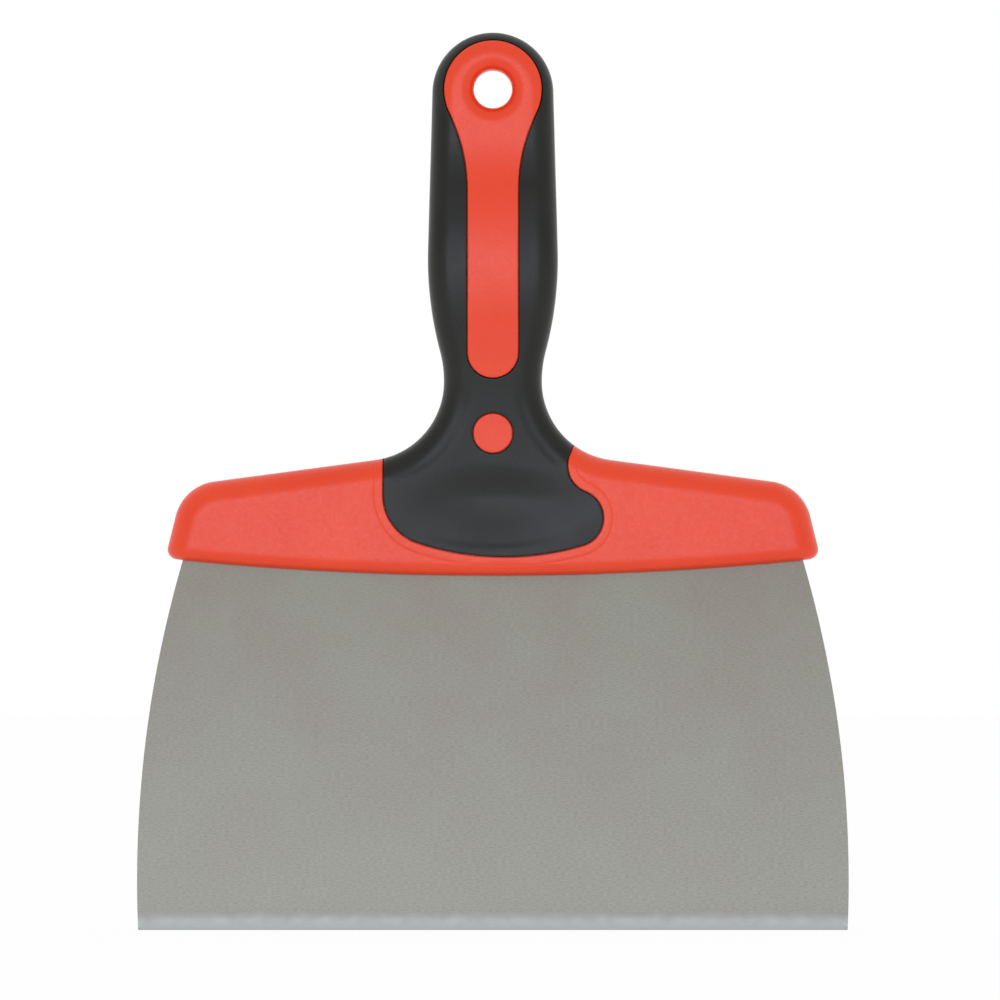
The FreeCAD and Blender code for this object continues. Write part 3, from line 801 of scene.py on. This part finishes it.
seamSizes = {
    "stripWidth": 14.2,
    "stripRise": 62.8,
    "flareRadius": 48,
    "markRadius": 5.5,
    "markRise": 40.1,
    "padLeft": 31.1,
    "padRise": 5.1,
    "padCorner": 14.4,
    "padBelly": 78,
    "lobeRadius": 8.2,
    "lobeReach": 31.3,
    "notchRadius": 7.7,
    "notchReach": 21.2,
    "notchLean": 21.6,
    "groove": 0.24,  # the soft grip stops this far short of the hard edge
    "lipRadius": 0.3,  # both materials round over into the groove
    "roundingShares": (0, 0.3, 0.65, 1, 2.2),  # of that radius, where the mesh has lines
    "witnessGap": 2.4,  # the tool insert's line in the red, outside the thumb rest
    "witnessWidth": 0.1,
    "witnessDepth": 0.06,
    "eyeletRadius": 14,  # of the strip's round end
    "step": 0.7,  # between points along a seam in the mesh
    "fineStep": 0.05,  # and along a seam as it is measured from
}
fineStep = seamSizes["fineStep"]
markCentre = np.array([0, lipUp + seamSizes["markRise"]])
softSide = {"strip": 1, "mark": 1, "pad": -1}  # the grip's side of each seam, 1 to its right
closedSeams = ("strip", "mark")  # the thumb rest's runs on round the neck at both ends


def stripLine():
    strip, eyelet = seamSizes["stripWidth"] / 2, seamSizes["eyeletRadius"]
    flare = seamSizes["flareRadius"]
    foot = (0, lipUp + seamSizes["stripRise"])
    drop = math.sqrt((flare + eyelet) ** 2 - (strip + flare) ** 2)
    meet = math.asin(drop / (flare + eyelet))
    centre = (strip + flare, holeUp - drop)
    right = arc(foot, strip, -quarter, 0, fineStep)
    right += [np.array([strip, z]) for z in np.arange(foot[1], centre[1], fineStep)]
    right += arc(centre, flare, math.pi, math.pi - meet, fineStep)
    right += arc(hangCentre, eyelet, -meet, quarter, fineStep)
    return np.array(right + [point * [-1, 1] for point in reversed(right[1:-1])])


# The thumb rest's edge, from beyond the left of the neck round to beyond its right.
def padLine():
    corner, belly, lobe = (seamSizes[k] for k in ("padCorner", "padBelly", "lobeRadius"))
    notch, lean = seamSizes["notchRadius"], math.radians(seamSizes["notchLean"])
    left, lobeAcross = -seamSizes["padLeft"], seamSizes["lobeReach"] - lobe
    bellyCentre = np.array([(left + corner + lobeAcross) / 2, lipUp + seamSizes["padRise"] + belly])

    # Centre of a smaller arc that lies inside the belly's arc and touches it.
    def within(across, radius):
        drop = math.sqrt((belly - radius) ** 2 - (across - bellyCentre[0]) ** 2)
        return np.array([across, bellyCentre[1] - drop])

    def towards(start, end):
        return math.atan2(end[1] - start[1], end[0] - start[0])

    cornerCentre, lobeCentre = within(left + corner, corner), within(lobeAcross, lobe)
    notchAcross = seamSizes["notchReach"] + notch
    notchRise = math.sqrt((lobe + notch) ** 2 - (notchAcross - lobeAcross) ** 2)
    notchCentre = np.array([notchAcross, lobeCentre[1] + notchRise])
    toCorner, toLobe = towards(bellyCentre, cornerCentre), towards(bellyCentre, lobeCentre)
    toNotch = towards(lobeCentre, notchCentre)
    top = lipUp + handleSizes["neckRise"]
    line = [np.array([left, z]) for z in np.arange(top, cornerCentre[1], -fineStep)]
    line += arc(cornerCentre, corner, -math.pi, toCorner, fineStep)
    line += arc(bellyCentre, belly, toCorner, toLobe, fineStep)
    line += arc(lobeCentre, lobe, toLobe, toNotch, fineStep)
    line += arc(notchCentre, notch, toNotch + math.pi, math.pi - lean, fineStep)
    leaving = line[-1]
    away = polar((0, 0), 1, quarter - lean)
    length = (top - leaving[1]) / away[1]
    line += [leaving + away * step for step in np.arange(fineStep, length, fineStep)]
    return np.array(line)


# Carries both ends of a flattened line on, past the middle plane.
def downTheWall(line):
    ends = []
    past = 1
    for last in (line[0], line[-1]):
        side = math.copysign(1, last[0])
        away, foot, normal = outwardFrom(np.array([[abs(last[0]), last[1]]]))
        reach = middleReach((foot + normal * edgeRound)[0, 1]) + past
        ends.append((foot + normal * reach)[0] * [side, 1])
    return np.vstack([ends[:1], line, ends[1:]])


# What is pressed into the handle's surface.

dishSizes = {
    "depth": 1.1,
    "reach": 29,  # to either side, where the dish runs out
    "border": 1.8,  # the flat edge left below the dish
    "edge": 2.6,  # height of the soft step at that edge
    "edgeShare": 0.2,  # part of the depth that the step takes
    "ramp": 15,  # height over which the rest deepens
    "topReach": 60,  # radius of the dish's upper edge
    "topRise": 32,  # height of that edge above the lip
    "topSlope": 10.5,  # height over which it deepens from there
}
crownSizes = {
    "rim": 4.4,  # width of the eyelet's falling rim
    "fall": 0.35,
    "fade": 14,  # how far down the strip the fall runs out
}
neckSizes = {
    "fall": 0.4,
    "band": 3,  # how far in from the long edges the softer rounding starts
    "rise": 40,  # height above the lip of its middle
    "half": 17,  # how far up and down it reaches
    "steepness": 1.6,  # of its fading there
    "padFade": 4,  # it also runs out this near the thumb rest's seam
}


# A shallow hollow for the thumb, with a steeper slope at its upper edge.
def thumbDish(flat):
    topCentre = np.array([0, lipUp + dishSizes["topRise"] - dishSizes["topReach"]])
    below = dishSizes["topReach"] - np.hypot(*(flat - topCentre).T)
    foot = seamSizes["padRise"] + dishSizes["border"] + flat[:, 0] ** 2 / seamSizes["padBelly"] / 2
    above = flat[:, 1] - lipUp - foot
    sides = np.clip(1 - (flat[:, 0] / dishSizes["reach"]) ** 2, 0, 1)
    upper = eased(below / dishSizes["topSlope"])
    step = eased(above / dishSizes["edge"])
    ramp = eased(above / dishSizes["ramp"])
    lower = ramp + dishSizes["edgeShare"] * (step - ramp)
    return dishSizes["depth"] * upper * lower * sides**2


# The eyelet's rim falls away gently all round, and less and less down to the strip.
def eyeletCrown(flat, toStrip):
    fall = np.clip(1 - toStrip / crownSizes["rim"], 0, 1) ** 2
    level = eased((flat[:, 1] - holeUp + crownSizes["fade"]) / crownSizes["fade"])
    return crownSizes["fall"] * fall * level


# The neck's front edges start to round over further in than the rest of the handle's.
def neckFall(flat, toPad):
    away = outwardFrom(np.stack([abs(flat[:, 0]), flat[:, 1]], axis=1))[0]
    inner = np.clip(away / neckSizes["band"] + 1, 0, 1) ** 2
    outer = np.clip(1 - away / edgeRound, 0, 1)
    offMiddle = abs(flat[:, 1] - lipUp - neckSizes["rise"]) / neckSizes["half"]
    level = eased(neckSizes["steepness"] * (1 - offMiddle))
    offPad = np.clip(toPad / neckSizes["padFade"], 0, 1)
    return neckSizes["fall"] * inner * outer * level * offPad


# How deep each point is pressed in: the outside alone at the seams' rounded lips, the witness
# line and the eyelet's crown, and both materials together at the thumb dish and the neck.
def pressedDepths(flat, seams, onSoft):
    lip, groove = seamSizes["lipRadius"], seamSizes["groove"]
    toSeam = np.min([gaps(flat, line) for line in seams.values()], axis=0)
    toSeam = np.where(onSoft, abs(toSeam - groove), toSeam)
    outside = lip - np.sqrt(lip**2 - np.clip(lip - toSeam, 0, lip) ** 2)
    toPad = gaps(flat, seams["pad"])
    toWitness = abs(toPad - seamSizes["witnessGap"])
    witness = seamSizes["witnessDepth"] * np.exp(-((toWitness / seamSizes["witnessWidth"]) ** 2))
    crown = eyeletCrown(flat, gaps(flat, seams["strip"]))
    outside += np.where(onSoft, 0, witness + crown)
    onMark = np.hypot(*(flat - markCentre).T) < seamSizes["markRadius"] + groove
    through = np.where(onSoft | onMark, thumbDish(flat), 0)
    through += np.where(onSoft, neckFall(flat, toPad), 0)
    return outside, through


# The seams on the flattened front, finely drawn.
def seamLines():
    return {
        "strip": flattened(stripLine()),
        "mark": np.array(arc(markCentre, seamSizes["markRadius"], 0, whole, fineStep)[:-1]),
        "pad": downTheWall(flattened(padLine())),
    }


# Triangles of the flattened front. They keep to its rim, the hang hole's mouth and the seams, and
# to lines beside each seam that carry the groove's rounded lips.
def frontTriangles(seams):
    step, spacing = seamSizes["step"], handleSizes["spacing"]
    rim = flatRim()
    mouth = evenly(arc(hangCentre, mouthReach, 0, whole, fineStep)[:-1], step, closed=True)
    loops, lines = [rim, mouth], []
    rounding = [seamSizes["lipRadius"] * share for share in seamSizes["roundingShares"]]
    for name, line in seams.items():
        closed, side = name in closedSeams, softSide[name]
        even = evenly(line, step, closed)
        offsets = [-r * side for r in rounding]
        offsets += [(r + seamSizes["groove"]) * side for r in rounding]
        for offset in offsets:
            (loops if closed else lines).append(beside(even, offset, closed))
    pad = evenly(seams["pad"], step)
    for k in (-2, -1, 0, 1, 2):  # across the witness line's hollow
        lines.append(beside(pad, seamSizes["witnessGap"] + k * seamSizes["witnessWidth"]))
    loose = honeycomb(rim.min(axis=0), rim.max(axis=0), spacing)
    loose = loose[inside(loose, rim) & (np.hypot(*(loose - hangCentre).T) > mouthReach)]
    clear = handleSizes["clearShare"] * spacing
    flat, faces = triangles(loops, lines, farFrom(loose, loops + lines, clear))
    middle = flat[faces].mean(axis=1)
    offHole = np.hypot(*(middle - hangCentre).T) > mouthReach - touching
    return flat, faces[inside(middle, rim) & offHole]


# Which triangles lie on the grip's side of the seams, and which of them clear the groove.
def softTriangles(flat, faces, seams):
    middle = flat[faces].mean(axis=1)
    outline = {name: line[::5] for name, line in seams.items()}  # coarse, but finer than a triangle
    far = handleSizes["palmDepth"] * 10  # well to the side of the handle
    above = np.vstack([outline["pad"], [[far, holeUp * 2], [-far, holeUp * 2]]])
    soft = inside(middle, above) & ~inside(middle, outline["strip"]) & ~inside(middle, outline["mark"])
    toSeam = np.min([gaps(middle, line) for line in seams.values()], axis=0)
    return soft, soft & (toSeam > seamSizes["groove"])


# The outward direction at each point: level on the middle plane, and straight ahead at the mouth.
def outwardDirections(surface, faces, onMiddle, onMouth):
    corners = surface[faces]
    normals = np.cross(corners[:, 1] - corners[:, 0], corners[:, 2] - corners[:, 0])
    outward = np.zeros_like(surface)
    for k in range(3):
        np.add.at(outward, faces[:, k], normals)
    outward[onMiddle, 1] = 0
    outward[onMouth] = (0, -1, 0)
    return outward / np.maximum(np.linalg.norm(outward, axis=1), tiny)[:, None]


# The hang hole's wall, from the ring of points at its front mouth. Those of the back mouth lie
# further on in the list by a count. The mouths roll in, and meet at the middle plane.
def holeWall(points, ring, behind):
    arm = (points[ring][:, (0, 2)] - hangCentre) / mouthReach
    mouthRound = handleSizes["mouthRound"]
    angles = np.linspace(0, quarter, handleSizes["mouthSteps"] + 1)[1:]
    depths = np.linspace(mouthRound, endHalf, handleSizes["wallSteps"] + 1)[1:]
    steps = [(mouthRound * math.sin(a), mouthRound * (1 - math.cos(a))) for a in angles]
    steps += [(mouthRound, depth) for depth in depths]
    rings = {1: [ring.tolist()], -1: [(ring + behind).tolist()]}
    for inward, deep in steps:
        place = hangCentre + arm * (mouthReach - inward)
        for side in (1, -1):
            if side == -1 and deep == endHalf:
                rings[-1].append(rings[1][-1])
                continue
            first = len(points)
            depth = np.full(len(ring), -side * (endHalf - deep))
            points = np.vstack([points, np.stack([place[:, 0], depth, place[:, 1]], axis=1)])
            rings[side].append(list(range(first, len(points))))
    walls = []
    for side, stack in rings.items():
        for wide, narrow in zip(stack, stack[1:]):
            for k in range(len(ring)):
                after = (k + 1) % len(ring)
                walls.append([wide[k], wide[after], narrow[after], narrow[k]][::side])
    return points, walls


def makeHandle(plastic, rubber):
    seams = seamLines()
    flat, faces = frontTriangles(seams)
    soft, covered = softTriangles(flat, faces, seams)
    count = len(flat)
    onSoft, onMiddle = np.zeros(count, bool), np.zeros(count, bool)
    onSoft[faces[covered]] = True
    onMouth = np.hypot(*(flat - hangCentre).T) < mouthReach + touching
    for a, b in freeEdges(faces):
        onMiddle[[a, b]] = True
    onMiddle &= ~onMouth

    surface = rolledOver(flat)
    surface[onMiddle, 1] = 0
    outward = outwardDirections(surface, faces, onMiddle, onMouth)
    outside, through = pressedDepths(flat, seams, onSoft)
    outer = surface - outward * (outside + through)[:, None]
    inner = surface - outward * (handleSizes["gripWall"] + through)[:, None]

    # Both pieces share these points: outer and inner, in front and behind.
    behind = 2 * count
    points = np.vstack([outer, inner, outer * [1, -1, 1], inner * [1, -1, 1]])
    same = np.arange(4 * count)  # the middle plane's points are the same in front and behind
    for layer in (0, count):
        same[behind + layer : behind + layer + count][onMiddle] = np.flatnonzero(onMiddle) + layer

    # Faces in front and behind from an outer and an inner set of triangles, with walls between.
    def shell(outside, within, walls, flip):
        front = outside.tolist() + [[v + count for v in f] for f in within.tolist()]
        for a, b in walls:
            quad = [b, a, a + count, b + count]
            front.append(quad[::-1] if flip else quad)
        back = [[int(same[v + behind]) for v in reversed(f)] for f in front]
        return front + back

    def seamEdges(within):
        return [(a, b) for a, b in freeEdges(within) if not (onMiddle[a] and onMiddle[b])]

    skin, under = faces[covered], faces[soft]
    gripFaces = shell(skin, skin[:, ::-1], seamEdges(skin), False)
    coreFaces = shell(faces[~soft], under, seamEdges(under), True)
    grip = newPiece("soft_grip", points, gripFaces, [rubber])
    ring = np.flatnonzero(onMouth & np.isin(np.arange(count), faces))
    arm = flat[ring] - hangCentre
    ring = ring[np.argsort(np.arctan2(arm[:, 1], arm[:, 0]))]
    points, walls = holeWall(points, ring, behind)
    core = newPiece("hard_core", points, coreFaces + walls, [plastic])
    return core, grip


# Cuts the blade's slot in the core and leaves the keys standing in it.
def openSlot(core):
    gap = bladeSizes["fitGap"]
    half = bladeSizes["thickness"] / 2 + gap
    spacing = 12  # the slot's walls are flat
    cutter = sheetSolid(
        "slot",
        gap,
        [],
        lambda flat: np.full(len(flat), half),
        lambda outline: [],
        [],
        spacing,
    )
    cut = core.modifiers.new("slot", "BOOLEAN")
    cut.operation = "DIFFERENCE"
    cut.solver = "MANIFOLD"
    cut.object = cutter
    graph = bpy.context.evaluated_depsgraph_get()
    mesh = bpy.data.meshes.new_from_object(core.evaluated_get(graph))
    core.modifiers.clear()
    core.data = mesh
    smooth(mesh)
    bpy.data.objects.remove(cutter)


# The skin of a moulding: a fine grain from the tool and a cloudy tone from the melt's flow.
def mouldedSkin(name, look):
    material, tree = newMaterial(name)
    place = addNode(tree, "ShaderNodeTexCoord", {}, {}).outputs["Object"]
    grain, cloud = (
        addNode(
            tree,
            "ShaderNodeTexNoise",
            {},
            {"Vector": place, "Scale": 1 / (look[size] * mm), "Detail": look[size + "Detail"]},
        )
        for size in ("grain", "cloud")
    )
    tone = addNode(
        tree,
        "ShaderNodeMapRange",
        {},
        {
            "Value": cloud.outputs["Fac"],
            "From Min": look["toneRange"][0],
            "From Max": look["toneRange"][1],
        },
    )
    colour = addNode(tree, "ShaderNodeMix", {"data_type": "RGBA"}, {"Factor": tone.outputs["Result"]})
    colour.inputs["A"].default_value = fromHex(look["shade"])
    colour.inputs["B"].default_value = fromHex(look["colour"])
    dull = addNode(
        tree,
        "ShaderNodeMapRange",
        {},
        {
            "Value": (grain if look["dullWith"] == "grain" else cloud).outputs["Fac"],
            "From Min": look["dullRange"][0],
            "From Max": look["dullRange"][1],
            "To Min": look["roughness"] - look["shinier"],
            "To Max": look["roughness"] + look["duller"],
        },
    )
    relief = addNode(
        tree,
        "ShaderNodeBump",
        {},
        {
            "Height": grain.outputs["Fac"],
            "Strength": look["grainStrength"],
            "Distance": look["grainDepth"] * mm,
        },
    )
    shader = addNode(
        tree,
        "ShaderNodeBsdfPrincipled",
        {},
        {
            "Base Color": colour.outputs["Result"],
            "Roughness": dull.outputs["Result"],
            "IOR": look["ior"],
            "Specular IOR Level": look["sheen"],
            "Normal": relief.outputs["Normal"],
        },
    )
    addNode(tree, "ShaderNodeOutputMaterial", {}, {"Surface": shader.outputs["BSDF"]})
    return material


# Injection-moulded polypropylene from a finely spark-eroded tool: a satin skin that pales where
# it faces the light and keeps its full colour where it turns away.
def mouldedPolypropylene():
    look = {
        "colour": "#F8461A",
        "shade": "#F44017",
        "roughness": 0.34,
        "shinier": 0.05,
        "duller": 0.07,
        "dullWith": "grain",
        "dullRange": (0.3, 0.7),
        "ior": 1.49,
        "sheen": 0.5,
        "grain": 0.7,  # the spark texture is finer, drawn this coarse so that it shows
        "grainDetail": 3,
        "grainDepth": 0.06,
        "grainStrength": 0.6,
        "cloud": 22,  # flow of the melt
        "cloudDetail": 3,
        "toneRange": (0.35, 0.65),
    }
    return mouldedSkin("mouldedPolypropylene", look)


# Soft thermoplastic elastomer, overmoulded on a fine matt texture: nearly black, with a broad
# dull sheen and no sharp highlight.
def mouldedElastomer():
    look = {
        "colour": "#1F201C",
        "shade": "#1A1B17",
        "roughness": 0.36,
        "shinier": 0.05,
        "duller": 0.05,
        "dullWith": "cloud",
        "dullRange": (0.3, 0.7),
        "ior": 1.5,
        "sheen": 0.31,  # the pits of the texture swallow part of the reflection
        "grain": 0.55,  # the etched texture is finer, drawn this coarse so that it shows
        "grainDetail": 2,
        "grainDepth": 0.04,
        "grainStrength": 0.6,
        "cloud": 16,
        "cloudDetail": 3,
        "toneRange": (0.35, 0.65),
    }
    return mouldedSkin("mouldedElastomer", look)


core, grip = makeHandle(mouldedPolypropylene(), mouldedElastomer())
openSlot(core)
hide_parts("core")
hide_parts("grip")
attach(core, "handle")
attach(grip, "handle")
print("handle ready", len(core.data.polygons), len(grip.data.polygons))


# Camera, lights and floor.

studio = {
    "aim": (2, 0, 121.2),  # what the camera and the panel point at
    "distance": 4000,
    "field": 281.9,  # width that the picture takes in at the blade
    "sensor": 36,
    "panelPlace": (-150, -2000, -100),
    "panelWidth": 1200,
    "panelHeight": 950,
    "panelWatts": 17,
    "panelColour": "#E0EAFF",
    "roomGlow": 0.73,  # in front of the knife
    "sweepGlow": 1,  # behind it
    "glowRange": (-0.4, 0.6),  # how far back the one turns into the other, as a direction's Y
    "paper": "#F4F4F2",
    "paperGlow": 0.96,  # part of what is seen of the paper that is its own white
    "paperReach": 4000,
    "paperDrop": 0.05,  # below the cutting edge
    "paperStep": 400,  # along its edge
}


def makeCamera():
    camera = bpy.data.cameras.new("camera")
    camera.sensor_width = studio["sensor"]
    camera.lens = studio["sensor"] * studio["distance"] / studio["field"]
    place = bpy.data.objects.new("camera", camera)
    place.location = [c * mm for c in (studio["aim"][0], -studio["distance"], studio["aim"][2])]
    place.rotation_euler = (quarter, 0, 0)
    bpy.context.scene.collection.objects.link(place)
    bpy.context.scene.camera = place


# One soft light panel in front, turned to the knife.
def makePanel():
    light = bpy.data.lights.new("frontPanel", "AREA")
    light.shape = "RECTANGLE"
    light.size = studio["panelWidth"] * mm
    light.size_y = studio["panelHeight"] * mm
    light.energy = studio["panelWatts"]
    light.color = fromHex(studio["panelColour"])[:3]
    panel = bpy.data.objects.new("frontPanel", light)
    panel.visible_camera = False
    panel.location = [c * mm for c in studio["panelPlace"]]
    aim = Vector(studio["aim"]) - Vector(studio["panelPlace"])
    panel.rotation_euler = aim.to_track_quat("-Z", "Y").to_euler()
    bpy.context.scene.collection.objects.link(panel)


# A white sweep behind the knife and a dimmer, pale room in front of it.
def makeRoom():
    world = bpy.data.worlds.new("room")
    world.use_nodes = True
    tree = world.node_tree
    tree.nodes.clear()
    place = addNode(tree, "ShaderNodeTexCoord", {}, {})
    parts = addNode(tree, "ShaderNodeSeparateXYZ", {}, {"Vector": place.outputs["Generated"]})
    glow = addNode(
        tree,
        "ShaderNodeMapRange",
        {"interpolation_type": "SMOOTHSTEP"},
        {
            "Value": parts.outputs["Y"],
            "From Min": studio["glowRange"][0],
            "From Max": studio["glowRange"][1],
            "To Min": studio["roomGlow"],
            "To Max": studio["sweepGlow"],
        },
    )
    sky = addNode(
        tree,
        "ShaderNodeBackground",
        {},
        {"Color": fromHex("#FFFFFF"), "Strength": glow.outputs["Result"]},
    )
    addNode(tree, "ShaderNodeOutputWorld", {}, {"Surface": sky.outputs["Background"]})
    bpy.context.scene.world = world


# Matt white paper. What the camera and glossy things see of it is mostly its own white, so that
# it meets the sweep with no line, and the knife's shadow stays on it.
def makeFloor():
    material, tree = newMaterial("matWhitePaper")
    path = addNode(tree, "ShaderNodeLightPath", {}, {})
    seen = path.outputs["Is Camera Ray"]
    for ray in ("Is Glossy Ray", "Is Transmission Ray"):
        either = addNode(
            tree,
            "ShaderNodeMath",
            {"operation": "MAXIMUM"},
            {0: seen, 1: path.outputs[ray]},
        )
        seen = either.outputs["Value"]
    share = addNode(
        tree,
        "ShaderNodeMath",
        {"operation": "MULTIPLY"},
        {0: seen, 1: studio["paperGlow"]},
    )
    paper = addNode(tree, "ShaderNodeBsdfDiffuse", {}, {"Color": fromHex(studio["paper"])})
    white = addNode(tree, "ShaderNodeEmission", {}, {"Color": fromHex("#FFFFFF")})
    both = addNode(
        tree,
        "ShaderNodeMixShader",
        {},
        {0: share.outputs["Value"], 1: paper.outputs["BSDF"], 2: white.outputs["Emission"]},
    )
    addNode(tree, "ShaderNodeOutputMaterial", {}, {"Surface": both.outputs["Shader"]})
    ring = arc((0, 0), studio["paperReach"], 0, whole, studio["paperStep"])[:-1]
    points = [(x, y, -studio["paperDrop"]) for x, y in ring]
    floor = newPiece("floor", points, [list(range(len(ring)))], [material])


makeCamera()
makeRoom()
makeFloor()
makePanel()
bpy.context.scene.view_settings.view_transform = "Standard"
print("studio ready")
